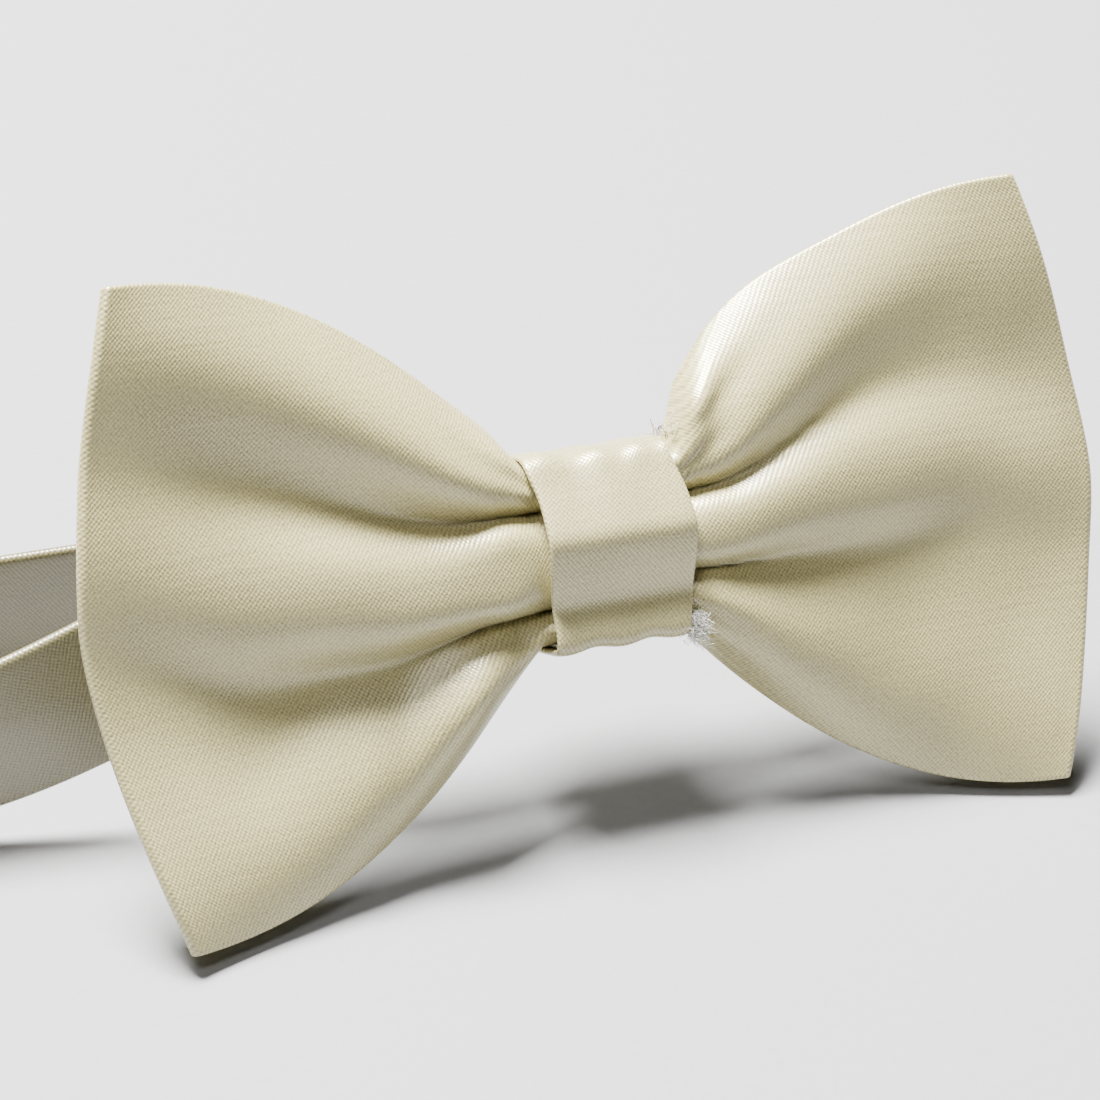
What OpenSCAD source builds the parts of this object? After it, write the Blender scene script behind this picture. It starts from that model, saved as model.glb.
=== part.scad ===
// Pre-tied bow tie, standing on its lower wing corners and leaning back on its neck strap.
// X runs along the bow, the bow faces -Y, and Z is up from the surface it stands on.

/* [Bow] */
// Width across the rounded ends of the wings
bow_w = 119.5; // [100:0.5:130]
// Width between the corners of the wings
corner_w = 106; // [90:1:116]
// Height of the wings at their corners
bow_h = 70; // [60:1:80]
// Height of the gathered cloth under the knot
pinch_h = 17; // [15:0.5:17.5]
// Angle that the bow leans back from upright
lean = 30; // [25:1:34]
// Thickness of one panel: lining between two layers of satin
panel_t = 1.6; // [1.4:0.1:1.8]
// Radius of the fold at each end of the bow
fold_r = 2.2; // [1.8:0.1:2.3]

// How far the wings' ends stand forward of the knot's middle
end_forward = 6; // [3:0.5:8]

/* [Knot] */
// Width of the knot band along the bow
knot_w = 17; // [14:0.5:18]
// Outside height of the knot band
knot_h = 20.6; // [20.2:0.1:22]
// Thickness of the band's satin
knot_t = 0.6; // [0.5:0.05:0.7]

/* [Neck strap] */
// Width of the strap
strap_w = 17; // [16:0.5:17]
// Thickness of the strap
strap_t = 1.6; // [1.4:0.1:1.7]
// Radius of the strap's two bends, to its middle
bend_r = 12; // [11:0.5:14]
// Distance from the knot to the start of the left bend
left_run = 96; // [84:1:110]
// Distance from the knot to the start of the right bend
right_run = 49; // [47:1:52]
// Length of the loose tail behind the slider
tail_len = 52; // [50:1:54]

/* [Clasp] */
// Radius of the clasp's wire
wire_r = 0.9; // [0.8:0.05:1]
// Position of the hook's bar along the bow
hook_x = -30; // [-34:1:-28]
// Position of the eye's bar along the bow
eye_x = -8; // [-9:1:-7]
// Position of the slider along the bow
slider_x = 27; // [20:1:28]

/* [Hidden] */
$fn = 48;
SATIN = [0.77, 0.73, 0.58];
LINING = [0.95, 0.94, 0.91];
METAL = [0.78, 0.76, 0.70];
TINY = 0.01;
// Gap between the cut ends of strap pieces that turn on each other
hinge_gap = 0.5;
// Thickness of the satin in a tube, and the room between it and what it holds
satin_t = 0.3;
lining_room = 0.08;
// Room between the clasp wire and the strap that folds round it
fold_room = 0.15;
// Length of strap that runs straight through the knot on each side, so that the bow can slide
slide_run = 22;
// Length over which the strap comes down to the surface on each side
left_drop = 60;
right_drop = 44;
// Steps round the bow, up the panel, round a fold and along a strap
panel_steps = 14;
height_steps = 12;
fold_steps = 6;
strap_steps = 16;
// Places in the bow's own frame, where Y is its depth and Z runs up the bow
back_pinch_y = 1.2;
front_pinch_y = -4.2;
strap_y = 4.9;
knot_back_y = 7.4;
knot_front_y = -6.8;
corner_radius = 2;
// Height of the bow's middle above the surface, from the lowest place along its lower edge
bow_z = max([for (a = [0 : 0.05 : 1])
    half_height(a) * cos(lean) + (fold_r + panel_t / 2 - end_forward * a * a) * sin(lean)]);
// Height of the strap's middle: the clasp stands a little prouder than the strap
wire_clear = 0.4;
clasp_half = strap_w / 2 + wire_clear + wire_r;
strap_z = clasp_half + wire_r;
knot_strap = [0, strap_y * cos(lean), bow_z - strap_y * sin(lean)];
fold_path_r = wire_r + fold_room + strap_t / 2;
rear_y = knot_strap[1] + 2 * bend_r;
layer_step = strap_t + 0.15;
bar_y = rear_y + fold_path_r;
// The whole is moved so that the origin is under the middle of its box
front_reach = bow_h / 2 * sin(lean) + (fold_r + panel_t / 2 + end_forward) * cos(lean);
rear_reach = rear_y + 2 * fold_path_r + strap_t / 2;
middle = [(right_run - left_run) / 2, (rear_reach - front_reach) / 2, 0];

function smooth(t) = let (c = min(1, max(0, t))) c * c * (3 - 2 * c);
function unit(v) = v / norm(v);

// ---- Skins: a list of rings, each ring being one edge-to-edge face and back ----
function ring_of(mids, normals, t) = concat(
    [for (i = [0 : len(mids) - 1]) mids[i] - normals[i] * t / 2],
    [for (i = [len(mids) - 1 : -1 : 0]) mids[i] + normals[i] * t / 2]);

function side_faces(rings, n, base, inward) = [
    for (i = [0 : rings - 2], j = [0 : n - 1], k = [0, 1])
        let (a = base + i * n + j, b = base + i * n + (j + 1) % n,
             c = base + (i + 1) * n + (j + 1) % n, d = base + (i + 1) * n + j)
        inward ? (k == 0 ? [a, b, c] : [a, c, d]) : (k == 0 ? [a, c, b] : [a, d, c])];

function cap_faces(base, n, last) = [
    for (j = [0 : n / 2 - 2], k = [0, 1])
        let (a = base + j, b = base + j + 1, c = base + n - 2 - j, d = base + n - 1 - j)
        last ? (k == 0 ? [a, c, b] : [a, d, c]) : (k == 0 ? [a, b, c] : [a, c, d])];

function rim_faces(outer, inner, n, last) = [
    for (j = [0 : n - 1], k = [0, 1])
        let (a = outer + j, b = outer + (j + 1) % n, c = inner + (j + 1) % n, d = inner + j)
        last ? (k == 0 ? [a, c, b] : [a, d, c]) : (k == 0 ? [a, b, c] : [a, c, d])];

function joined(lists) = [for (l = lists) for (e = l) e];

module solid_skin(rings) {
    n = len(rings[0]);
    m = len(rings);
    polyhedron(joined(rings), concat(side_faces(m, n, 0, false), cap_faces(0, n, false),
                                     cap_faces((m - 1) * n, n, true)));
}

module tube_skin(outer, inner) {
    n = len(outer[0]);
    m = len(outer);
    polyhedron(concat(joined(outer), joined(inner)),
               concat(side_faces(m, n, 0, false), side_faces(m, n, m * n, true),
                      rim_faces(0, m * n, n, false),
                      rim_faces((m - 1) * n, (2 * m - 1) * n, n, true)));
}

// ---- Bow: one looped tube, gathered at its middle, with its cut ends meeting at the back ----
// Half height of the panel a part u of the way from the knot to the end
function half_height(u) = pinch_h / 2 + (bow_h - pinch_h) / 2 * (1 - pow(1 - u, 2.1));

// Reach of the rounded end at height v, from -1 to 1
function end_x(v) = corner_w / 2 + (bow_w - corner_w) / 2 * (1 - pow(abs(v), 1.6));

// Forward swell of the front panel: puffed wing, with a ridge between two creases by the knot
function swell(u, v) =
    let (z = abs(v) * half_height(u), crease = 3.4 + 4 * u)
    2 * pow(1 - u, 3) + 5.5 * sin(180 * pow(u, 0.75)) * (1 - 0.75 * v * v)
    - 2.2 * pow(1 - u, 2) * smooth(u * 6) * exp(-pow((z - crease) / 1.6, 2));

// One point of the middle of the cloth: turn goes from 0 (front) to 180 (back) round the end fold
function bow_point(side, u, turn, v) =
    let (reach = end_x(v) - fold_r,
         start = knot_w / 2 + 0.6,
         along = max(0, (u * reach - start) / (reach - start)),
         front = -fold_r * cos(turn) - (u < 1 ? swell(along, v) : 0),
         back = back_pinch_y + (fold_r - back_pinch_y) * smooth(along * 2.5),
         y = turn == 180 ? back : front)
    [side * (u * reach + fold_r * sin(turn)), y - end_forward * along * along, v * half_height(along)];

// Stations [side, u, turn] once round the loop, from the slit at the back to the slit again
slit_u = 0.006;
half_loop = concat(
    [for (i = [0 : panel_steps]) [slit_u + (1 - slit_u) * i / panel_steps, 180]],
    [for (i = [1 : fold_steps - 1]) [1, 180 - 180 * i / fold_steps]],
    [for (i = [panel_steps : -1 : 1]) [i / panel_steps, 0]]);
bow_stations = concat(
    [for (s = half_loop) [1, s[0], s[1]]],
    [[1, 0, 0]],
    [for (i = [len(half_loop) - 1 : -1 : 0]) [-1, half_loop[i][0], half_loop[i][1]]]);

function bow_mids(k, inset) = [
    for (i = [0 : height_steps])
        let (s = bow_stations[k], v = -1 + 2 * i / height_steps)
        bow_point(s[0], s[1], s[2], v * (1 - inset))];

function bow_normals(k) =
    let (m = len(bow_stations) - 1,
         before = bow_mids(max(0, k - 1), 0), after = bow_mids(min(m, k + 1), 0), here = bow_mids(k, 0))
    [for (i = [0 : height_steps])
        unit(cross(after[i] - before[i], here[min(height_steps, i + 1)] - here[max(0, i - 1)]))];

function bow_rings(t, inset) = [
    for (k = [0 : len(bow_stations) - 1]) ring_of(bow_mids(k, inset), bow_normals(k), t)];

module in_bow_frame() {
    translate([0, 0, bow_z] - middle)
        rotate([-lean, 0, 0])
            children();
}

module bow_satin() {
    color(SATIN)
        in_bow_frame()
            tube_skin(bow_rings(panel_t, 0), bow_rings(panel_t - 2 * satin_t, 0.02));
}

module bow_interlining() {
    color(LINING)
        in_bow_frame()
            solid_skin(bow_rings(panel_t - 2 * satin_t - 2 * lining_room, 0.035));
}

// ---- Knot: band, its lining, the stitches that close it and the thread under it ----
module rounded_block(y0, y1, h, r) {
    union() {
        translate([y0 + r, -h / 2])
            square([y1 - y0 - 2 * r, h]);
        translate([y0, -h / 2 + r])
            square([y1 - y0, h - 2 * r]);
        for (y = [y0 + r, y1 - r], z = [-h / 2 + r, h / 2 - r])
            translate([y, z])
                circle(r);
    }
}

// A ring round the waist of the bow, cut from two rounded blocks and laid along X
module waist_ring(y0, y1, h, r, t, w) {
    rotate([90, 0, 90])
        translate([0, 0, -w / 2])
            linear_extrude(w)
                difference() {
                    rounded_block(y0, y1, h, r);
                    rounded_block(y0 + t, y1 - t, h - 2 * t, r - t);
                }
}

module knot_band() {
    color(SATIN)
        in_bow_frame()
            waist_ring(knot_front_y, knot_back_y, knot_h, corner_radius, knot_t, knot_w);
}

// Thickness of the knot's lining
lining_t = 0.4;
module knot_lining() {
    y0 = knot_front_y + knot_t;
    y1 = knot_back_y - knot_t;
    color(LINING)
        in_bow_frame()
            waist_ring(y0, y1, knot_h - 2 * knot_t, corner_radius - knot_t, lining_t, knot_w - 1.2);
}

// Stitches that close the band's overlap, sunk a little into it
stitch_r = 0.25;
stitch_sunk = 0.05;
stitch_len = 2;
stitches = 6;
module knot_stitches() {
    pitch = knot_w / (stitches + 1);
    color(SATIN)
        in_bow_frame()
            for (i = [1 : stitches])
                translate([-knot_w / 2 + i * pitch, knot_back_y + stitch_r - stitch_sunk, -stitch_len / 2])
                    cylinder(h = stitch_len, r = stitch_r, $fn = 16);
}

thread_r = 0.3;
thread_turns = 4;
thread_pitch = 1;
thread_room = 0.05;
// The thread is wound round the gathered cloth, inside the knot's lining
module waist_thread() {
    y0 = front_pinch_y - panel_t / 2 - thread_room - 2 * thread_r;
    y1 = back_pinch_y + panel_t / 2 + thread_room + 2 * thread_r;
    h = pinch_h + 2 * thread_room + 4 * thread_r;
    color(LINING)
        in_bow_frame()
            for (i = [0 : thread_turns - 1])
                translate([(i - (thread_turns - 1) / 2) * thread_pitch, 0, 0])
                    waist_ring(y0, y1, h, 0.7, 2 * thread_r, 2 * thread_r);
}

// ---- Neck strap: a flat tube that runs through the knot and comes down to stand on its edge ----
// Frame [middle, up, outward] of the strap at length s from the knot, to the right (1) or left (-1)
function run_of(side) = side > 0 ? right_run : left_run;
function drop_of(side) = side > 0 ? right_drop : left_drop;

function strap_mid(side, s) =
    let (run = run_of(side), turn = min(180, max(0, (s - run) / bend_r * 180 / PI)),
         past = max(0, s - run - PI * bend_r), down = smooth((s - slide_run) / drop_of(side)))
    [side * (min(s, run) + bend_r * sin(turn) - past),
     knot_strap[1] + bend_r * (1 - cos(turn)),
     knot_strap[2] + (strap_z - knot_strap[2]) * down];

function strap_frame(side, s) =
    let (turn = min(180, max(0, (s - run_of(side)) / bend_r * 180 / PI)),
         tilt = lean * (1 - smooth((s - slide_run) / drop_of(side))),
         out = [side * sin(turn), -cos(turn), 0],
         up = [0, 0, cos(tilt)] - out * sin(tilt),
         ahead = unit(strap_mid(side, s + TINY) - strap_mid(side, s - TINY)),
         true_up = unit(up - ahead * (ahead * up)))
    [strap_mid(side, s), true_up, unit(cross(ahead, true_up)) * side];

// Frames of the end that goes round a clasp bar at bar_x and comes back outside the strap
function end_frames(side, bar_x, back_len) = concat(
    [for (i = [0 : fold_steps * 2])
        let (a = 180 * i / (fold_steps * 2))
        [[bar_x - side * fold_path_r * sin(a), bar_y - fold_path_r * cos(a), strap_z],
         [0, 0, 1], [side * sin(a), cos(a), 0]]],
    [for (i = [1 : fold_steps])
        let (t = i / fold_steps)
        [[bar_x + side * min(t * 6, back_len), rear_y + 2 * fold_path_r
          + (layer_step - 2 * fold_path_r) * smooth(t), strap_z], [0, 0, 1], [0, -1, 0]]],
    back_len > 6
        ? [for (t = [0.5, 1]) [[bar_x + side * (6 + (back_len - 6) * t), rear_y + layer_step, strap_z],
                               [0, 0, 1], [0, -1, 0]]]
        : []);

function strap_ring(frame, w, t) =
    ring_of([frame[0] - frame[1] * w / 2, frame[0] + frame[1] * w / 2], [frame[2], frame[2]], t);

// A strap piece: a satin tube, or the lining that fills it
module strap_tube(frames) {
    translate(-middle)
        tube_skin([for (f = frames) strap_ring(f, strap_w, strap_t)],
                  [for (f = frames) strap_ring(f, strap_w - 2 * satin_t, strap_t - 2 * satin_t)]);
}

module strap_lining(frames) {
    inside = satin_t + lining_room;
    translate(-middle)
        solid_skin([for (f = frames) strap_ring(f, strap_w - 2 * inside, strap_t - 2 * inside)]);
}

function hinge_s(side) = run_of(side) + bend_r * PI / 2;

// Frames from length s0 to length s1 along the strap, on one side of the knot
function run_frames(side, s0, s1, steps) = [
    for (i = [0 : steps])
        strap_frame(side, s0 + (s1 - s0) * i / steps - (i == steps ? TINY : 0))];

function backwards(list) = [for (i = [len(list) - 1 : -1 : 0]) list[i]];

// Both bends end at the start of the straight run along the back
function back_s(side) = run_of(side) + bend_r * PI;
doubled_len = 13;
left_frames = backwards(concat(
    run_frames(-1, hinge_s(-1) + hinge_gap / 2, back_s(-1), strap_steps),
    end_frames(-1, hook_x, doubled_len)));
neck_frames = concat(
    backwards(run_frames(-1, 2, hinge_s(-1) - hinge_gap / 2, strap_steps * 2)),
    run_frames(1, 0, right_run, strap_steps),
    run_frames(1, right_run + 2, back_s(1), strap_steps),
    end_frames(1, eye_x, tail_len));

module neck_strap() {
    color(SATIN)
        strap_tube(neck_frames);
}

module neck_strap_interlining() {
    color(LINING)
        strap_lining(neck_frames);
}

module strap_left() {
    color(SATIN)
        strap_tube(left_frames);
}

module strap_left_interlining() {
    color(LINING)
        strap_lining(left_frames);
}

// ---- Stitching that holds the strap's two turned-back ends ----
tack_w = 1.6;
tack_t = 0.4;
tack_inset = 2.5;
module tack_at(x, margin) {
    h = strap_w - 2 * margin;
    color(SATIN)
        translate([x - tack_w / 2, rear_y + layer_step + strap_t / 2, strap_z - h / 2] - middle)
            cube([tack_w, tack_t, h]);
}

module strap_left_bar_tack() {
    tack_at(hook_x - doubled_len + tack_inset, 1.5);
}

module strap_tail_hem() {
    tack_at(eye_x + tail_len - tack_inset, 0.5);
}

// ---- Clasp: two wire rings, a tongue that hooks into the eye, and a slider ----
ring_len = 7;
module wire_ring(x0, x1) {
    for (x = [x0, x1])
        translate([x, bar_y, strap_z - clasp_half])
            cylinder(h = 2 * clasp_half, r = wire_r);
    for (z = [-clasp_half, clasp_half])
        translate([min(x0, x1), bar_y, strap_z + z])
            rotate([0, 90, 0])
                cylinder(h = ring_len, r = wire_r);
    for (x = [x0, x1], z = [-clasp_half, clasp_half])
        translate([x, bar_y, strap_z + z])
            sphere(wire_r);
}

tongue_w = 8;
tongue_t = 1;
tongue_room = 0.4;
lip_drop = 2.4;
lip_slack = 1.2;
module hook() {
    far_x = hook_x + ring_len;
    lip_x = eye_x - ring_len + wire_r + lip_slack;
    top_y = bar_y + wire_r + tongue_room;
    color(METAL)
        translate(-middle)
            union() {
                wire_ring(hook_x, far_x);
                translate([far_x - wire_r, bar_y - wire_r, strap_z - tongue_w / 2])
                    cube([2 * wire_r, top_y + tongue_t - bar_y + wire_r, tongue_w]);
                translate([far_x, top_y, strap_z - tongue_w / 2])
                    cube([lip_x + tongue_t - far_x, tongue_t, tongue_w]);
                translate([lip_x, bar_y - lip_drop, strap_z - tongue_w / 2])
                    cube([tongue_t, top_y + tongue_t - bar_y + lip_drop, tongue_w]);
            }
}

module eye() {
    color(METAL)
        translate(-middle)
            wire_ring(eye_x, eye_x - ring_len);
}

slider_len = 10;
slider_bar_r = 0.8;
slider_room = 0.35;
slider_rail = 1.4;
// The slider's side bars lie behind both layers of strap, and its middle bar in front of them
module slider() {
    front_y = rear_y - strap_t / 2 - slider_room - slider_bar_r;
    back_y = rear_y + layer_step + strap_t / 2 + slider_room + slider_bar_r;
    rail_z = strap_w / 2 + slider_room;
    color(METAL)
        translate([slider_x, 0, strap_z] - middle)
            union() {
                for (side = [-1, 1])
                    translate([-slider_len / 2, front_y - slider_bar_r,
                               side > 0 ? rail_z : -rail_z - slider_rail])
                        cube([slider_len, back_y - front_y + 2 * slider_bar_r, slider_rail]);
                for (x = [-1, 1])
                    translate([x * (slider_len / 2 - slider_bar_r), back_y, -rail_z - slider_rail / 2])
                        cylinder(h = 2 * rail_z + slider_rail, r = slider_bar_r);
                translate([0, front_y, -rail_z - slider_rail / 2])
                    cylinder(h = 2 * rail_z + slider_rail, r = slider_bar_r);
            }
}

bow_satin();
bow_interlining();
waist_thread();
knot_band();
knot_lining();
knot_stitches();
neck_strap();
neck_strap_interlining();
strap_left();
strap_left_interlining();
strap_left_bar_tack();
strap_tail_hem();
hook();
eye();
slider();
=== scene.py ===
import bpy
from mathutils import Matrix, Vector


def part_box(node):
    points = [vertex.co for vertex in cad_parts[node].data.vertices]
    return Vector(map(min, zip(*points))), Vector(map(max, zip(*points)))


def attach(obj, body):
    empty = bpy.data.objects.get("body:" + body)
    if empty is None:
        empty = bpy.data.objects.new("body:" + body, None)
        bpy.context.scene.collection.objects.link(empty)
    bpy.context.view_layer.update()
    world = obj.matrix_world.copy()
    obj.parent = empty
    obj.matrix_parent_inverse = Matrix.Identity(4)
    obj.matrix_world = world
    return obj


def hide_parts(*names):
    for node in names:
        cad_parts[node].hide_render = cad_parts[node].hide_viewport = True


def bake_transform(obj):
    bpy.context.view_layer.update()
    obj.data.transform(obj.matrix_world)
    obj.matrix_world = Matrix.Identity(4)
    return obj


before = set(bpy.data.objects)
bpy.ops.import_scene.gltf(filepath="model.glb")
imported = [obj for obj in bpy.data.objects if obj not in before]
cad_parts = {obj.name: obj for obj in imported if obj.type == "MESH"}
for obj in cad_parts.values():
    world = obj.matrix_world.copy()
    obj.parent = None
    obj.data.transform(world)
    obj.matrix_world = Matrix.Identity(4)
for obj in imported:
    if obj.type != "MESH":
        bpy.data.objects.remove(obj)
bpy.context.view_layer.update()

import math
import bpy
import numpy as np
from mathutils import Matrix, Vector

mm = 0.001
pi = math.pi

# The bow's own frame: X along the bow, Y its depth (front is minus), Z up the bow. It leans back.
bowPlan = {
    "lean": math.radians(30),
    "knotDepthMiddle": 0.3,      # the knot band's middle, behind the bow's own origin
    "cornerHalf": 53.0,          # from the knot to a wing's corner
    "bulgeHalf": 59.75,          # from the knot to the middle of a wing's end
    "halfHeight": 35.0,
    "pinchHalf": 10.2,
    "endForward": 6.0,           # how far the wing ends stand forward
    "foldRadius": 0.45,
    "panelThick": 0.72,
    "liningThick": 0.20,
    "liningMargin": 0.03,        # how far the lining stays inside the panel's edges, as a share
    "frontPinch": 4.6,           # depth of the gathered cloth under the knot, in front and behind
    "backPinch": 0.7,
    "knotHalf": 8.5,             # half the knot's width, where the wings start
    "growth": 2.1,               # power that the wing's height grows with
    "endRound": 1.6,             # power that rounds the wing's end
}

leanCos, leanSin = math.cos(bowPlan["lean"]), math.sin(bowPlan["lean"])
bandLow, bandHigh = (np.array(corner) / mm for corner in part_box("knot_band"))
bowOrigin = (bandLow + bandHigh) / 2 - bowPlan["knotDepthMiddle"] * np.array([0, leanCos, -leanSin])


def fromBow(points):
    # leaned back about X, then moved to the knot's middle
    x, y, z = points[..., 0], points[..., 1], points[..., 2]
    return np.stack([x, y * leanCos + z * leanSin, z * leanCos - y * leanSin], -1) + bowOrigin


def smooth(t):
    # 0 to 1 with level ends: 3t² - 2t³
    t = np.clip(t, 0, 1)
    return t * t * (3 - 2 * t)


def unit(v):
    # the same direction, one long
    return v / np.maximum(np.linalg.norm(v, axis=-1, keepdims=True), 1e-9)


def bell(t):
    # 1 in the middle, falling to 0: e to the minus t²
    return np.exp(-t * t)


def arcLength(points):
    # distance along a row of points, starting at 0
    return np.concatenate([[0], np.cumsum(np.linalg.norm(np.diff(points, axis=0), axis=1))])


def resampled(points, count, closed=False):
    # the same line, with its points evenly spaced
    line = np.concatenate([points, points[:1]]) if closed else points
    along = arcLength(line)
    wanted = np.linspace(0, along[-1], count, endpoint=not closed)
    return np.stack([np.interp(wanted, along, line[:, k]) for k in range(3)], -1)


def gridQuads(rows, cols, wrapRows, wrapCols):
    # corner numbers of every cell of a grid of points
    i, j = np.meshgrid(np.arange(rows if wrapRows else rows - 1),
                       np.arange(cols if wrapCols else cols - 1), indexing="ij")
    i, j = i.ravel(), j.ravel()
    a, b = (i, j), (i, j + 1)
    c, d = (i + 1, j + 1), (i + 1, j)
    quads = np.stack([(p % rows) * cols + q % cols for p, q in (a, b, c, d)], -1)
    corners = np.stack([p * (cols + 1) + q for p, q in (a, b, c, d)], -1)
    return quads, corners


def volumeOf(verts, quads):
    # six times the signed volume that the faces close in
    a, b, c, d = (verts[quads[:, k]] for k in range(4))
    return np.sum(np.cross(a, b) * c) + np.sum(np.cross(a, c) * d)


def buildMesh(name, parts, material):
    # parts are (points, uv, quads, corners), joined into one smooth mesh with a weave map
    verts, loops, uvs, start = [], [], [], 0
    for points, uv, quads, corners in parts:
        flat = points.reshape(-1, 3)
        flip = volumeOf(flat, quads) < 0
        order = [1, 0, 3, 2] if flip else [0, 1, 2, 3]
        verts.append(flat)
        loops.append(quads[:, order] + start)
        uvs.append(uv.reshape(-1, 2)[corners[:, order]])
        start += len(flat)
    verts, loops, uvs = np.concatenate(verts) * mm, np.concatenate(loops), np.concatenate(uvs)
    same = loops[:, 2] == loops[:, 3]
    mesh = bpy.data.meshes.new(name)
    mesh.from_pydata(verts.tolist(), [], [f[:3] if t else f for f, t in zip(loops.tolist(), same)])
    layer = mesh.uv_layers.new(name="weave")
    keep = np.ones((len(loops), 4), bool)
    keep[same, 3] = False
    layer.data.foreach_set("uv", (uvs * mm)[keep].astype(np.float32).ravel())
    mesh.polygons.foreach_set("use_smooth", np.ones(len(mesh.polygons), bool))
    mesh.materials.append(material)
    mesh.update()
    piece = bpy.data.objects.new(name, mesh)
    bpy.context.scene.collection.objects.link(piece)
    return piece


def gridPart(points, wrapRows=False, wrapCols=True, uv=None, caps=True):
    # a grid of points as a tube or ring, its weave map in millimetres, its open ends closed with fans
    rows, cols = points.shape[:2]
    quads, corners = gridQuads(rows, cols, wrapRows, wrapCols)
    if uv is None:
        along = np.linalg.norm(np.diff(points, axis=0, append=points[:1]), axis=2).mean(1)
        round_ = np.linalg.norm(np.diff(points, axis=1, append=points[:, :1]), axis=2).mean(0)
        u = np.concatenate([[0], np.cumsum(along)])
        v = np.concatenate([[0], np.cumsum(round_)])
        uv = np.stack(np.meshgrid(u, v, indexing="ij"), -1)
    parts = [(points, uv, quads, corners)]
    if wrapRows or not caps or not wrapCols:
        return parts[0]
    flat = points.reshape(-1, 3)
    ends = np.stack([points[0].mean(0), points[-1].mean(0)])
    allPoints = np.concatenate([flat, ends])
    ring = np.arange(cols)
    nextRing = (ring + 1) % cols
    last = (rows - 1) * cols
    first = np.stack([nextRing, ring, np.full(cols, rows * cols), np.full(cols, rows * cols)], -1)
    final = np.stack([ring + last, nextRing + last, np.full(cols, rows * cols + 1),
                      np.full(cols, rows * cols + 1)], -1)
    zero = np.zeros((cols, 4), int)
    return allPoints, uv, np.concatenate([quads, first, final]), np.concatenate([corners, zero, zero])


def sweep(path, normals, profile, wrap=False, caps=True):
    # a closed profile (across, out) carried along a path: point + across * side + out * normal
    ahead = unit(np.roll(path, -1, 0) - np.roll(path, 1, 0)) if wrap else unit(np.gradient(path, axis=0))
    side = unit(np.cross(normals, ahead))
    out = unit(np.cross(ahead, side))
    points = path[:, None] + profile[..., 0:1] * side[:, None] + profile[..., 1:2] * out[:, None]
    return gridPart(points, wrapRows=wrap, caps=caps)


def roundProfile(radius, sides=12):
    # a circle: radius * (cos a, sin a)
    a = np.linspace(0, 2 * pi, sides, endpoint=False)
    return np.stack([np.cos(a), np.sin(a)], -1) * radius


def flatProfile(width, thick, across=24, edge=5):
    # a flat bar with half-round edges
    half = width / 2 - thick / 2
    a = np.linspace(0, pi, edge + 2)[1:-1]
    top = np.stack([np.linspace(-half, half, across), np.full(across, thick / 2)], -1)
    right = np.stack([half + np.sin(a) * thick / 2, np.cos(a) * thick / 2], -1)
    return np.concatenate([top, right, -top, -right])


def frameNormals(path, hint):
    # a steady normal along a path, kept square to it
    ahead = unit(np.gradient(path, axis=0))
    hints = np.broadcast_to(np.array(hint, float), path.shape)
    return unit(hints - ahead * np.sum(ahead * hints, -1, keepdims=True))


# Materials

class Shader:
    # a short way to add and join nodes
    def __init__(self, name):
        self.material = bpy.data.materials.new(name)
        self.material.use_nodes = True
        self.tree = self.material.node_tree
        self.main = self.tree.nodes["Principled BSDF"]
        self.coords = self.tree.nodes.new("ShaderNodeTexCoord")

    def node(self, kind, **sockets):
        made = self.tree.nodes.new("ShaderNode" + kind)
        for name, value in sockets.items():
            self.put(made.inputs[int(name[1:]) if name[1:].isdigit() else name], value)
        return made

    def put(self, socket, value):
        if hasattr(value, "is_output"):
            self.tree.links.new(value, socket)
        else:
            socket.default_value = value

    def math(self, operation, a, b=0.0, c=0.0):
        made = self.node("Math", i0=a, i1=b, i2=c)
        made.operation = operation
        return made.outputs[0]

    def mapping(self, source, turn=0.0, scale=(1, 1, 1)):
        made = self.node("Mapping", Vector=self.coords.outputs[source], Scale=scale)
        made.inputs["Rotation"].default_value = (0, 0, turn)
        return made.outputs[0]

    def noise(self, vector, scale, detail=3.0, rough=0.55):
        made = self.node("TexNoise", Vector=vector, Scale=scale, Detail=detail, Roughness=rough)
        return made.outputs["Fac"]

    def mix(self, amount, a, b):
        made = self.node("Mix")
        made.data_type = "RGBA"
        self.put(made.inputs[0], amount)
        self.put(made.inputs[6], a)
        self.put(made.inputs[7], b)
        return made.outputs[2]

    def remap(self, value, low, high, toLow=0.0, toHigh=1.0):
        made = self.node("MapRange", Value=value)
        for name, number in (("From Min", low), ("From Max", high), ("To Min", toLow), ("To Max", toHigh)):
            made.inputs[name].default_value = number
        return made.outputs[0]

    def bump(self, height, strength, distance, under=None):
        made = self.node("Bump", Height=height, Strength=strength, Distance=distance)
        if under is not None:
            self.put(made.inputs["Normal"], under)
        return made.outputs[0]

    def finish(self, **sockets):
        for name, value in sockets.items():
            self.put(self.main.inputs[name.replace("_", " ")], value)
        return self.material


satinLook = {
    "light": (0.530, 0.472, 0.225, 1),
    "dark": (0.185, 0.161, 0.068, 1),
    "period": 0.00042,           # one thread and its neighbour, in metres
    "weftStretch": 1.15,
    "speckleScale": 3400.0,
    "cloudScale": 60.0,
    "slubScale": (60, 900, 1),
    "roughness": 0.36,
    "sheen": 0.08,
    "metallic": 0.12,
    "ior": 1.7,
    "anisotropic": 0.35,
}


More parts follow.
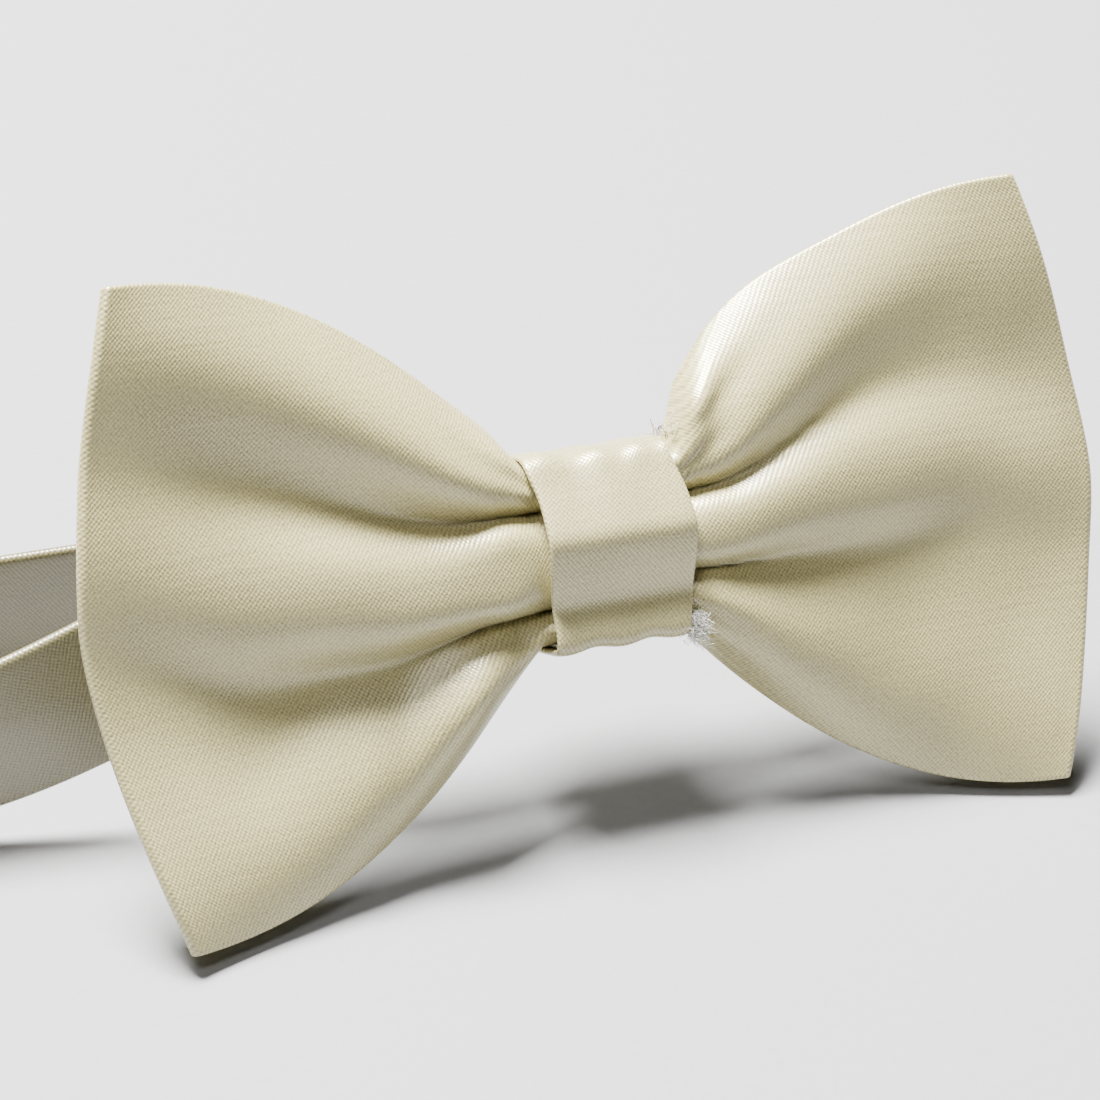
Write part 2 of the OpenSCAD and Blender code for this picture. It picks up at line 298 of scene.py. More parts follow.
def satinMaterial(name, turn, paintedShade=1.0, grey=0.0, roughness=None):
    # satin weave on the bias: two crossing sets of threads as sines, with slubs and a slow unevenness
    look = satinLook
    s = Shader(name)
    weave = s.mapping("UV", turn)
    cells = s.node("SeparateXYZ", Vector=weave)
    wobble = s.noise(weave, 700.0, 2.0)
    rate = 2 * pi / look["period"]
    across = s.math("MULTIPLY_ADD", cells.outputs[0], rate, s.math("MULTIPLY", wobble, 3.0))
    weftRate = rate * look["weftStretch"]
    along = s.math("MULTIPLY_ADD", cells.outputs[1], weftRate, s.math("MULTIPLY", wobble, -2.2))
    warp, weft = s.math("SINE", across), s.math("SINE", along)
    fine = s.remap(s.math("MULTIPLY_ADD", warp, 0.60, s.math("MULTIPLY", weft, 0.40)), -1.0, 1.0)
    speckle = s.noise(weave, look["speckleScale"], 2.0, 0.7)
    cloudy = s.noise(s.coords.outputs["Object"], look["cloudScale"], 4.0)
    # this factor darkens both weave colours evenly; below one it is painted shade, as on the strap
    light = [c * paintedShade for c in look["light"][:3]]
    dark = [c * paintedShade for c in look["dark"][:3]]
    mean = sum(light) / 3
    light = tuple(c + (mean - c) * grey for c in light) + (1,)
    dark = tuple(c + (mean * 0.6 - c) * grey for c in dark) + (1,)
    patchy = s.math("MULTIPLY_ADD", speckle, 1.1, s.math("MULTIPLY", cloudy, 0.30))
    shade = s.math("MULTIPLY_ADD", fine, 0.42, patchy)
    colour = s.mix(s.remap(shade, 0.55, 1.15), dark, light)
    height = s.math("MULTIPLY_ADD", speckle, 0.6, fine)
    slubs = s.noise(s.mapping("UV", turn, look["slubScale"]), 1.0, 2.0)
    normal = s.bump(height, 0.42, 0.00008, s.bump(slubs, 0.10, 0.0004))
    rough = look["roughness"] if roughness is None else roughness
    worn = s.math("MULTIPLY_ADD", fine, 0.6, s.math("MULTIPLY", cloudy, 0.6))
    gloss = s.remap(worn, 0.0, 1.1, rough + 0.10, rough - 0.06)
    return s.finish(Base_Color=colour, Roughness=gloss, Normal=normal, Sheen_Weight=look["sheen"],
                    Sheen_Roughness=0.45, Sheen_Tint=(1.0, 0.97, 0.86, 1), Specular_IOR_Level=0.62,
                    Anisotropic=look["anisotropic"], Metallic=look["metallic"], IOR=look["ior"])


threadPeriods = {"lining": 0.0007, "twist": 0.00035}


def liningMaterial():
    # plain white woven lining: sine times sine
    s = Shader("whiteLining")
    weave = s.mapping("UV")
    cells = s.node("SeparateXYZ", Vector=weave)
    rate = 2 * pi / threadPeriods["lining"]
    over = s.math("MULTIPLY", s.math("SINE", s.math("MULTIPLY", cells.outputs[0], rate)),
                  s.math("SINE", s.math("MULTIPLY", cells.outputs[1], rate)))
    cloudy = s.noise(s.coords.outputs["Object"], 120.0)
    colour = s.mix(s.math("MULTIPLY_ADD", over, 0.3, cloudy), (0.62, 0.60, 0.54, 1), (0.86, 0.85, 0.81, 1))
    return s.finish(Base_Color=colour, Roughness=0.85, Normal=s.bump(over, 0.4, 0.0001), Sheen_Weight=0.3)


def threadMaterial(name, light, dark):
    # twisted thread: a fine slanting ply along its length
    s = Shader(name)
    ply = s.node("SeparateXYZ", Vector=s.mapping("UV", 0.6))
    twist = s.math("SINE", s.math("MULTIPLY", ply.outputs[0], 2 * pi / threadPeriods["twist"]))
    fuzz = s.noise(s.coords.outputs["Object"], 3000.0)
    colour = s.mix(s.math("MULTIPLY_ADD", twist, 0.3, fuzz), dark, light)
    return s.finish(Base_Color=colour, Roughness=0.6, Normal=s.bump(twist, 0.5, 0.00006), Sheen_Weight=0.2)


def metalMaterial():
    # bright plated wire with fine drawing lines, dulled and rubbed in places
    s = Shader("platedWire")
    drawn = s.noise(s.mapping("Object", 0.0, (300, 300, 4000)), 1.0, 2.0)
    rubbed = s.noise(s.coords.outputs["Object"], 260.0, 4.0)
    colour = s.mix(rubbed, (0.60, 0.57, 0.52, 1), (0.82, 0.80, 0.75, 1))
    gloss = s.remap(s.math("MULTIPLY_ADD", drawn, 0.4, rubbed), 0.3, 1.1, 0.16, 0.34)
    return s.finish(Base_Color=colour, Metallic=1.0, Roughness=gloss, Normal=s.bump(drawn, 0.12, 0.00003))


bowSatin = satinMaterial("bowSatin", math.radians(-42))
bandSatin = satinMaterial("bandSatin", math.radians(38), grey=0.06, roughness=0.34)
# the strap's satin at 0.36 of the bow's colour is painted shade, for the strap lying in the wing's shadow
shadedStrapSatin = satinMaterial("shadedStrapSatin", math.radians(-35), paintedShade=0.36)
whiteLining = liningMaterial()
satinThread = threadMaterial("satinThread", (0.66, 0.60, 0.42, 1), (0.46, 0.41, 0.27, 1))
whiteThread = threadMaterial("whiteThread", (0.88, 0.87, 0.84, 1), (0.70, 0.69, 0.65, 1))
platedWire = metalMaterial()
print("materials made")

# The bow: one looped tube of satin, gathered at its middle

pleats = {
    "rows": 120,                 # steps along one front wing
    "backRows": 60,
    "foldRows": 12,
    "cols": 70,                  # steps up the panel
    "edgeCols": 4,
    "creaseDepth": 3.3,          # sharp folds by the knot
    "creaseFade": 7.5,
    "creaseWidth": 0.85,
    "creaseRound": 0.12,
    "valleyDepth": 3.5,          # broad hollows that carry them on
    "spread": 0.165,             # how fast the valleys widen
    "ridgeLift": 1.0,
    "swell": 3.4,
    "gather": 0.26,
    "gatherRate": 27,
    "slit": 0.006,               # half the gap between the loop's cut ends, as a share of a wing
    "upperValley": (0.66, 1.0),  # shares of the depth, for the right wing and the left
    "lowerValley": (0.58, 1.25),
    "topLobe": (0.9, 1.7),       # how far the cloth stands out above and below the valleys
    "lowLobe": (0.9, 2.2),
}


def halfHeight(side, a, v, full=1.0):
    # pinch + rise * (1 - (1 - a) to a power); each wing's top stands fuller at its root
    p = bowPlan
    plain = p["pinchHalf"] + (p["halfHeight"] - p["pinchHalf"]) * (1 - (1 - a) ** p["growth"])
    reach = p["knotHalf"] + a * (p["cornerHalf"] - p["knotHalf"])
    extra = np.where(side > 0, 4.2 * bell((reach - 15.5) / 12), 0.7 * bell((reach - 11) / 4))
    return plain + full * extra * smooth(v * 1.4) * smooth((reach - 8.4) / 3)


def bySide(side, key):
    # the right wing's value or the left one's
    return np.where(side > 0, pleats[key][0], pleats[key][1])


def endReach(v):
    # the wing's end: corners at v = ±1 and a rounded bulge between them
    p = bowPlan
    return p["cornerHalf"] + (p["bulgeHalf"] - p["cornerHalf"]) * (1 - np.abs(v) ** p["endRound"])


def ramp(t, soft):
    # 0 before t = 0, then rising as t does, with a soft start
    return (t + np.sqrt(t * t + soft * soft)) / 2


def valleyLines(side, d):
    # heights of the two valleys at distance d: a start height, plus slopes that each set in further out
    upper = np.where(side > 0,
                     4.8 + 0.52 * ramp(d - 15, 3) - 0.48 * ramp(d - 34, 4) - 0.20 * ramp(d - 45, 3),
                     4.9 + 0.37 * ramp(d - 20, 4))
    lower = np.where(side > 0, -4.4 - 0.06 * ramp(d - 20, 4) - 0.35 * ramp(d - 48, 3),
                     -6.6 - 0.32 * ramp(d - 15, 3) + 0.30 * ramp(d - 26, 5) + 0.35 * ramp(d - 43, 4))
    return upper, lower


def waves(side, d, z):
    # lobes plus a ridge, minus two valleys, all bells: sharp by the knot, broad and soft further out
    p = pleats
    upper, lower = valleyLines(side, d)
    width = 0.9 + p["spread"] * (d - 10)
    depth = p["valleyDepth"] * bell((d - 31) / 28) * smooth((d - 7) / 9)
    upperWidth = width * np.where(z > upper, 1.45, 0.95)
    lowerWidth = width * np.where(z < lower, 2.1, 0.85)
    first = bySide(side, "upperValley") * depth * bell((z - upper) / upperWidth)
    second = bySide(side, "lowerValley") * depth * bell((z - lower) / lowerWidth)
    near = p["creaseDepth"] * np.exp(-(d - 8) / p["creaseFade"])
    fromCrease = ((z - upper + 0.3) / p["creaseWidth"], (z - lower - 0.4) / p["creaseWidth"])
    sharp = sum(np.exp(0.35 - np.sqrt(t * t + p["creaseRound"])) for t in fromCrease)
    start, run = bowPlan["knotHalf"], bowPlan["cornerHalf"] - bowPlan["knotHalf"]
    grown = 1 - (1 - np.clip((d - start) / run, 0, 1)) ** bowPlan["growth"]
    high = bowPlan["halfHeight"] * grown + 1e-3
    rise = smooth((d - 9) / 10)
    lobes = (bySide(side, "topLobe") * bell((z - 0.72 * high) / (0.30 * high + 1))
             + bySide(side, "lowLobe") * bell((z + 0.98 * high) / (0.42 * high + 1))) * rise
    ridge = bell((z - (upper + lower) / 2) / (0.45 * (upper - lower))) * bell((d - 20) / 20)
    return lobes + p["ridgeLift"] * ridge - first - second - near * sharp


def smallFolds(side, d, z):
    # radial gathers by the knot, slow unevenness of the cloth, and a few hollows, one by one
    spokes = np.cos(z / (d + 4) * pleats["gatherRate"] + side * 0.8)
    gathers = pleats["gather"] * spokes * np.exp(-(d - 8) / 5.5) * smooth((np.abs(z) - 5) / 3)
    uneven = 0.07 * np.sin(d / 4.3 + z / 6.1 + side) + 0.05 * np.sin(d / 2.9 - z / 3.7 + side * 2)

    def hollow(cx, cz, degrees, long, wide):
        # a bell along the line times a bell across it
        c, s = math.cos(math.radians(degrees)), math.sin(math.radians(degrees))
        p, q = (d - cx) * c + (z - cz) * s, (z - cz) * c - (d - cx) * s
        return bell(q / wide) * bell(p / long)

    left = -0.5 * hollow(27, -19.5, -68, 8, 2.4) + 0.5 * hollow(32, -14, -45, 11, 4.0)
    right = 0.9 * hollow(12, 14.5, 68, 5.5, 1.6) - 0.4 * hollow(15.2, 14.5, 60, 6, 2.0)
    return gathers + uneven + np.where(side > 0, right, left)


def panelMiddle(side, u, turn, v):
    # middle of the cloth: u runs from the knot to the end, turn goes 0 (front) to pi (back) round the fold.
    # depth = fold radius + pillow (a sine) + waves + small folds, less at the edges; ends forward as a²
    p = bowPlan
    reach = endReach(v) - p["foldRadius"]
    x = u * reach
    start = p["knotHalf"] + 0.4
    a = np.clip((x - start) / (reach - start), 0, 1)
    isFront, isBack = turn < 1e-6, turn > pi - 1e-6
    tuck = np.where(isBack, 0.962, 1.0)
    tall = halfHeight(side, a, v, np.where(isBack, 0.8, 1.0))
    z = v * tall * (tuck + (1 - tuck) * smooth((a - 0.85) / 0.15))
    away = np.maximum(x, 8.0)
    wave = waves(side, away, z) * (1 - 0.4 * np.abs(v) ** 8)
    ended = smooth((a - 0.5) / 0.5)
    pillow = pleats["swell"] * np.sin(pi * a ** 0.72) * (1 - np.abs(v) ** 4)
    pillow = pillow + p["frontPinch"] * (1 - a) ** 3 * (1 - np.abs(v) ** (5 + 9 * (1 - a) ** 6))
    rim = p["foldRadius"] * (ended + (1 - ended) * 0.42)
    front = -rim - pillow - wave - smallFolds(side, away, z) * smooth((1 - a) / 0.06)
    behind = (p["backPinch"] * (1 - a) ** 3 + 0.8 * np.sin(pi * a)) * (1 - v ** 6)
    back = rim + behind - wave * ended
    level = -p["foldRadius"] * np.cos(turn) - wave
    y = np.where(isFront, front, np.where(isBack, back, level)) - p["endForward"] * a * a
    return np.stack([side * (x + p["foldRadius"] * np.sin(turn)), y, z], -1)


def loopStations():
    # once round the loop: back right, right fold, front right, front left, left fold, back left
    p = pleats
    outward = np.linspace(p["slit"], 1, p["backRows"])
    fold = np.linspace(pi, 0, p["foldRows"] + 2)[1:-1]
    inward = 1 - np.linspace(0, 1, p["rows"]) ** 1.25
    inward[-1] = 0.0
    u = np.concatenate([outward, np.ones(len(fold)), np.maximum(inward, 0)])
    turn = np.concatenate([np.full(len(outward), pi), fold, np.zeros(len(inward))])
    side = np.ones(len(u))
    return (np.concatenate([side, -side[:-1]]), np.concatenate([u, u[-2::-1]]),
            np.concatenate([turn, turn[-2::-1]]))


def looped(thick, margin):
    # the panel carried round the loop: middle plus and minus half its thickness, with rounded long edges
    p = pleats
    side, u, turn = (k[:, None] for k in loopStations())
    v = np.sin(np.linspace(-1, 1, p["cols"]) * pi / 2 * 0.92) / math.sin(pi / 2 * 0.92)
    middle = panelMiddle(side, u, turn, v[None] * (1 - margin))
    alongV = np.gradient(middle, axis=1)
    normal = unit(np.cross(np.gradient(middle, axis=0), alongV))
    a = np.linspace(0, pi, p["edgeCols"] + 2)[1:-1][None, :, None]
    half = thick / 2
    topOut, lowOut = unit(alongV[:, -1:]), -unit(alongV[:, :1])
    topEdge = middle[:, -1:] + (normal[:, -1:] * np.cos(a) + topOut * np.sin(a)) * half
    lowEdge = middle[:, :1] + (-normal[:, :1] * np.cos(a) + lowOut * np.sin(a)) * half
    ring = np.concatenate([middle + normal * half, topEdge, (middle - normal * half)[:, ::-1], lowEdge], 1)
    along = arcLength(middle[:, len(v) // 2])
    height = middle[..., 2]
    up = np.concatenate([height, np.repeat(height[:, -1:], p["edgeCols"], 1), height[:, ::-1],
                         np.repeat(height[:, :1], p["edgeCols"], 1), height[:, :1]], 1)
    uv = np.stack([np.broadcast_to(along[:, None], up.shape), up], -1)
    return gridPart(fromBow(ring), uv=np.concatenate([uv, uv[-1:]], 0))


bowCloth = buildMesh("bowCloth", [looped(bowPlan["panelThick"], 0.0)], bowSatin)
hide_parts("bow_satin")
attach(bowCloth, "bow")
bowLining = buildMesh("bowLining", [looped(bowPlan["liningThick"], bowPlan["liningMargin"])],
                      whiteLining)
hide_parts("bow_interlining")
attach(bowLining, "bow")
print("bow made")

# The knot: a band of satin wrapped round the middle, its lining, the thread under it and the stitches

knotPlan = {
    "outline": ((7.3, 9.6), (3, 10.6), (-2.6, 10.8), (-4.9, 10.2), (-6.8, 6.0), (-8.6, 1.7), (-7.4, -1.8),
                (-5.5, -5.9), (-6.0, -8.4), (-6.3, -10.4), (-4.2, -10.7), (3, -10.5), (7.3, -9.6)),
    "back": 7.3,
    "thick": 0.7,
    "width": 17.2,
    "steps": 220,
    "smoothing": 15.0,           # how softly the outline's corners turn
    "edgeWave": 0.26,            # ripple of the upper edge, and of the lower one
    "lowWave": 0.22,
    "liningWidth": 15.4,
    "liningThick": 0.35,
    "liningInset": 0.75,
}
waistPlan = {"turns": 6, "pitch": 0.62, "radius": 0.26, "middle": -1.55, "halfDeep": 3.75, "halfHigh": 8.95}
stitchPlan = {"count": 11, "halfRun": 7.2, "height": 1.15, "slant": 0.35, "rise": 0.32, "radius": 0.17}


def bandLine(inset, count):
    # round the waist: the outline's corners, evenly spaced and smoothed with a bell, then drawn inwards
    p = knotPlan
    outline = np.array(p["outline"])
    corners = np.stack([np.zeros(len(outline)), outline[:, 0], outline[:, 1]], -1)
    line = resampled(corners, 800, closed=True)
    reach = np.arange(-40, 41)
    weights = bell(reach / p["smoothing"])
    weights = weights / weights.sum()
    line = sum(w * np.roll(line, k, 0) for k, w in zip(reach, weights))
    middle = line.mean(0)
    size = np.abs(line - middle).max(0)
    shrink = 1 - inset / np.maximum(size, 1)
    return resampled(middle + (line - middle) * shrink, count, closed=True)


def bandRing(width, thick, inset, count):
    # line + profile, shifted sideways by bells of the height, with cosine ripples along its two edges
    line = bandLine(inset, count)
    ahead = unit(np.roll(line, -1, 0) - np.roll(line, 1, 0))
    out = np.stack([np.zeros(count), ahead[:, 2], -ahead[:, 1]], -1)
    out = out * np.sign(np.sum(out * (line - line.mean(0)), -1, keepdims=True))
    profile = flatProfile(width, thick, 34, 6)
    across = profile[:, 0]
    z = line[:, 2:3]
    front = smooth(-line[:, 1:2] / 4)
    leftward = smooth(-across / 8)[None]
    rightward = smooth(across / 8)[None]
    shift = (-0.7 * bell((z - 10) / 2.4) * leftward + 0.5 * bell((z + 8) / 5) * leftward
             - 0.9 * bell((z - 10) / 3.0) * rightward - 0.7 * bell((z + 10) / 2.6) * rightward
             + 0.35 * bell(z / 5) * rightward) * front
    wave = (0.5 * (across / 8.5) ** 2 + knotPlan["edgeWave"] * np.cos(across * 1.15 + 0.6))[None]
    wave = wave * smooth((z - 7.5) / 2.5)
    wave = wave * (0.3 + 0.7 * front)
    lowWave = (knotPlan["lowWave"] * np.cos(across * 0.9))[None] * smooth((-z - 8) / 2)
    soft = 0.10 * np.sin(across * 0.75 + 1.0)[None] * bell((z - 6) / 6) * front
    points = line[:, None] + out[:, None] * (profile[:, 1][None, :, None] + soft[..., None])
    points[..., 0] += across[None] + shift
    points[..., 2] += wave - lowWave
    along = arcLength(np.concatenate([line, line[:1]]))
    uv = np.stack(np.meshgrid(along, np.concatenate([across, across[:1]]), indexing="ij"), -1)[..., ::-1]
    return gridPart(fromBow(points), wrapRows=True, uv=uv)


knotBand = buildMesh("knotBand", [bandRing(knotPlan["width"], knotPlan["thick"], 0.0, knotPlan["steps"])],
                     bandSatin)
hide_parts("knot_band")
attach(knotBand, "bow")
knotLining = buildMesh("knotLining", [bandRing(knotPlan["liningWidth"], knotPlan["liningThick"],
                                               knotPlan["liningInset"], knotPlan["steps"])],
                       whiteLining)
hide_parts("knot_lining")
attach(knotLining, "bow")


def windingPath(count):
    # thread wound round the gathered cloth: a squared circle, root of cos and of sin, creeping sideways
    p = waistPlan
    t = np.linspace(0, p["turns"] * 2 * pi, count)
    y = p["middle"] + p["halfDeep"] * np.sign(np.cos(t)) * np.sqrt(np.abs(np.cos(t)))
    z = p["halfHigh"] * np.sign(np.sin(t)) * np.sqrt(np.abs(np.sin(t)))
    return fromBow(np.stack([(t / (2 * pi) - p["turns"] / 2) * p["pitch"], y, z], -1))


winding = windingPath(900)
coil = sweep(winding, frameNormals(winding, (1, 0, 0)), roundProfile(waistPlan["radius"], 8))
waistThread = buildMesh("waistThread", [coil], whiteThread)
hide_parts("waist_thread")
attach(waistThread, "bow")


def stitchPart(x, y, slant):
    # one hand stitch: a short thread that rises as 1 - t to the fourth, lies on the cloth and goes down
    p = stitchPlan
    t = np.linspace(-1, 1, 18)
    path = fromBow(np.stack([x + slant * t, y + p["rise"] * (1 - t ** 4), p["height"] * t], -1))
    return sweep(path, frameNormals(path, (1, 0, 0)), roundProfile(p["radius"], 8))


backFace = knotPlan["back"] + knotPlan["thick"] / 2 - 0.16
seam = np.linspace(-stitchPlan["halfRun"], stitchPlan["halfRun"], stitchPlan["count"])
stitchRow = [stitchPart(x, backFace, stitchPlan["slant"] + 0.1 * math.sin(x * 5)) for x in seam]
slipStitches = buildMesh("slipStitches", stitchRow, satinThread)
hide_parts("knot_stitches")
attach(slipStitches, "bow")
print("knot made")

# The neck strap: a flat folded tube of satin, standing on its edge

strapPlan = {
    "width": 17.0,
    "thick": 1.3,
    "liningWidth": 15.4,
    "liningThick": 0.5,
    "bend": 12.0,                # radius of the two bends
    "leftRun": 96.0,             # from the knot to the left bend, and to the right one
    "rightRun": 49.0,
    "leftDrop": 60.0,            # length over which the strap comes down to the table
    "rightDrop": 44.0,
    "slideRun": 22.0,            # level part that the bow slides along
    "depth": 4.9,                # from the bow's origin back to the strap
    "foldRadius": 1.85,          # round the clasp's bars
    "layerStep": 1.75,           # from the strap's middle to its turned-back layer
    "hookX": -30.0,
    "eyeX": -8.0,
    "doubled": 13.0,
    "tail": 52.0,
    "leftWave": 1.1,
    "rightWave": 0.3,
    "hingeHalf": 7.0,            # half the stretch of strap by the left half's hinge
}

eyeLow, eyeHigh = (np.array(corner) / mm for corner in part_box("eye"))
strapHeight = (eyeLow[2] + eyeHigh[2]) / 2
frontStrap = np.array([bowOrigin[0], bowOrigin[1] + strapPlan["depth"] * leanCos,
                       bowOrigin[2] - strapPlan["depth"] * leanSin])
rearY = frontStrap[1] + 2 * strapPlan["bend"]
barY = rearY + strapPlan["foldRadius"]


def strapRoute(side, s):
    # straight, half a circle, straight back: the height falls smoothly to the table along the first run
    p = strapPlan
    run, drop = (p["rightRun"], p["rightDrop"]) if side > 0 else (p["leftRun"], p["leftDrop"])
    turn = np.clip((s - run) / p["bend"], 0, pi)
    past = np.maximum(0, s - run - pi * p["bend"])
    down = smooth((s - p["slideRun"]) / drop)
    middle = np.stack([frontStrap[0] + side * (np.minimum(s, run) + p["bend"] * np.sin(turn) - past),
                       frontStrap[1] + p["bend"] * (1 - np.cos(turn)),
                       frontStrap[2] + (strapHeight - frontStrap[2]) * down], -1)
    tilt = (bowPlan["lean"] * (1 - down))[:, None]
    out = np.stack([side * np.sin(turn), -np.cos(turn), 0 * turn], -1)
    up = np.array([0, 0, 1]) * np.cos(tilt) - out * np.sin(tilt)
    return middle, up


def endRoute(side, barX, backLength):
    # round the clasp's bar, then back along the outside of the strap
    p = strapPlan
    r = p["foldRadius"]
    a = np.linspace(0, pi, 25)[1:]
    x0 = frontStrap[0] + barX
    fold = np.stack([x0 - side * r * np.sin(a), barY - r * np.cos(a), 0 * a + strapHeight], -1)
    t = np.linspace(0, backLength, 40)[1:]
    back = np.stack([x0 + side * t, rearY + 2 * r + (p["layerStep"] - 2 * r) * smooth(t / 6),
                     0 * t + strapHeight], -1)
    points = np.concatenate([fold, back])
    return points, np.broadcast_to(np.array([0, 0, 1.0]), points.shape)


def strapLine(side, barX, backLength):
    # the route from the knot to the clasp's bar, then its turned-back end
    p = strapPlan
    run = p["rightRun"] if side > 0 else p["leftRun"]
    total = run + pi * p["bend"] + (run - side * barX if side > 0 else run + barX)
    s = np.linspace(0.0, total, int(total / 0.8))
    a, upA = strapRoute(side, s)
    b, upB = endRoute(side, barX, backLength)
    return np.concatenate([a, b]), np.concatenate([upA, upB])


def strapPart(line, up, width, thick, wave):
    # line + profile stood along its up direction, with sines along it that wave its long edges
    ahead = unit(np.gradient(line, axis=0))
    up = unit(up - ahead * np.sum(ahead * up, -1, keepdims=True))
    out = np.cross(ahead, up)
    profile = flatProfile(width, thick, 22, 5)
    s = arcLength(line)
    soft = wave * smooth((s - 26) / 20) * smooth((120 - s) / 15)
    rock = (np.sin(s / 9.0) * soft)[:, None]
    bulge = (np.sin(s / 6.3 + 1) * 0.8 * soft)[:, None]
    across = profile[:, 0][None] * (1 + 0.006 * rock)
    lift = rock * 0.55 * (profile[:, 0] / (width / 2))[None] + bulge * bell(profile[:, 0] / 6)[None]
    raised = profile[:, 1][None] + lift
    points = line[:, None] + up[:, None] * across[..., None] + out[:, None] * raised[..., None]
    ends = np.concatenate([s, s[-1:]])
    uv = np.stack(np.meshgrid(ends, np.concatenate([profile[:, 0], profile[:1, 0]]), indexing="ij"), -1)
    return gridPart(points, uv=uv)


def strapPieces(name, side, barX, backLength, wave):
    # the satin tube and its lining along one side, and that side's length
    p = strapPlan
    line, up = strapLine(side, barX, backLength)
    cloth = buildMesh(name + "Cloth", [strapPart(line, up, p["width"], p["thick"], wave)],
                      shadedStrapSatin)
    core = buildMesh(name + "Lining", [strapPart(line, up, p["liningWidth"], p["liningThick"], wave)],
                     whiteLining)
    return cloth, core, arcLength(line)[-1] * mm


rightCloth, rightCore, rightLength = strapPieces("strapRight", 1, strapPlan["eyeX"], strapPlan["tail"],
                                                 strapPlan["rightWave"])
leftCloth, leftCore, leftLength = strapPieces("strapLeft", -1, strapPlan["hookX"], strapPlan["doubled"],
                                              strapPlan["leftWave"])
for piece in (leftCloth, leftCore):
    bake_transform(piece)
for piece in (rightCloth, rightCore):
    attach(piece, "strap")
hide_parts("neck_strap")
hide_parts("neck_strap_interlining")
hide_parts("strap_left")
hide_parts("strap_left_interlining")
print("strap made:", round(rightLength, 3), "and", round(leftLength, 3), "m")


tackPlan = {"halfWide": 0.75, "radius": 0.15, "lift": 0.10, "ply": 0.07, "inset": 2.5}


def tackPart(x, halfHigh, turns):
    # a bar tack: one thread laid to and fro as a triangle wave while it climbs across the strap
    p = tackPlan
    t = np.linspace(0, turns * 2 * pi, turns * 14)
    zigzag = np.arcsin(np.sin(t)) / (pi / 2)
    face = rearY + strapPlan["layerStep"] + strapPlan["thick"] / 2
    path = np.stack([frontStrap[0] + x + p["halfWide"] * zigzag,
                     face + p["lift"] + p["ply"] * np.cos(t) ** 2,
                     strapHeight + halfHigh * (2 * t / t[-1] - 1)], -1)
    return sweep(path, frameNormals(path, (0, 1, 0)), roundProfile(p["radius"], 6))


leftEnd = strapPlan["hookX"] - strapPlan["doubled"]
tailEnd = strapPlan["eyeX"] + strapPlan["tail"]
leftTack = buildMesh("leftBarTack", [tackPart(leftEnd + tackPlan["inset"], 7.2, 34)], satinThread)
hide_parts("strap_left_bar_tack")
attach(leftTack, "left_half")
tailHem = buildMesh("tailHem", [tackPart(tailEnd - tackPlan["inset"], 8.0, 30)], satinThread)
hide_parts("strap_tail_hem")
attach(tailHem, "strap")
print("stitching made")

# The clasp: bent wire and a small cast slider

clasp = {
    "wire": 0.9,                 # the rings' wire radius
    "ringLength": 7.0,
    "ringPast": 1.3,             # how far a ring stands past the strap's edge
    "ringCorner": 1.6,
    "tongueWidth": 7.6,
    "tongueThick": 0.85,
    "tongueWrap": 1.45,
    "tongueGap": 1.7,            # from the eye's wire to the turned-down tip
    "sliderX": 27.0,
    "sliderLength": 10.0,
    "railPast": 1.05,
    "railThick": 1.1,
    "barWidth": 1.7,
    "barThick": 1.15,
    "barX": 4.2,
    "barClear": 1.95,            # from a strap layer's middle to the bar beside it
}


def oblong(x0, x1, z0, z1, radius, y, count=200):
    # a rounded oblong in the strap's plane: four quarter circles joined
    a = np.linspace(0, pi / 2, 12)
    corners = [((x1 - radius, z1 - radius), 0), ((x0 + radius, z1 - radius), pi / 2),
               ((x0 + radius, z0 + radius), pi), ((x1 - radius, z0 + radius), 3 * pi / 2)]
    line = np.concatenate([np.stack([x + radius * np.cos(a + s), 0 * a + y, z + radius * np.sin(a + s)], -1)
                           for (x, z), s in corners])
    return resampled(line, count, closed=True)


def wireLoop(x0, x1):
    # a ring of round wire, a little taller than the strap
    half = strapPlan["width"] / 2 + clasp["ringPast"]
    line = oblong(frontStrap[0] + x0, frontStrap[0] + x1, strapHeight - half, strapHeight + half,
                  clasp["ringCorner"], barY)
    normals = np.broadcast_to(np.array([0, 1.0, 0]), line.shape)
    return sweep(line, normals, roundProfile(clasp["wire"], 14), wrap=True)


def tonguePart():
    # an arc round the ring's outer wire, a straight run over the eye, and a quarter turn down into it
    ringEdge = strapPlan["hookX"] + clasp["ringLength"]
    lip = strapPlan["eyeX"] - clasp["ringLength"] + clasp["wire"] + clasp["tongueGap"]
    top = clasp["wire"] + 0.9
    a = np.linspace(-0.75 * pi, 0.5 * pi, 24)
    r = clasp["tongueWrap"]
    wrap = np.stack([ringEdge - r * np.cos(a), r * np.sin(a)], -1)
    bend = np.linspace(0, pi / 2, 10)
    down = np.stack([lip - 1 + np.sin(bend), top - 1 + np.cos(bend)], -1)
    rest = np.array([[lip, 0.4], [lip + 0.05, -1.2], [lip + 0.25, -1.9]])
    flat = np.concatenate([wrap, [[ringEdge + 2.0, top]], down, rest])
    path = np.stack([frontStrap[0] + flat[:, 0], barY + flat[:, 1], 0 * flat[:, 0] + strapHeight], -1)
    path = resampled(path, 120)
    ahead = unit(np.gradient(path, axis=0))
    normals = np.cross(ahead, np.array([0, 0, 1.0]))
    return sweep(path, normals, flatProfile(clasp["tongueWidth"], clasp["tongueThick"], 14, 4))


hookPiece = buildMesh("hookWire", [wireLoop(strapPlan["hookX"], strapPlan["hookX"] + clasp["ringLength"]),
                                   tonguePart()], platedWire)
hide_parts("hook")
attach(hookPiece, "hook")
eyePiece = buildMesh("eyeWire", [wireLoop(strapPlan["eyeX"] - clasp["ringLength"], strapPlan["eyeX"])],
                     platedWire)
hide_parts("eye")
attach(eyePiece, "eye")


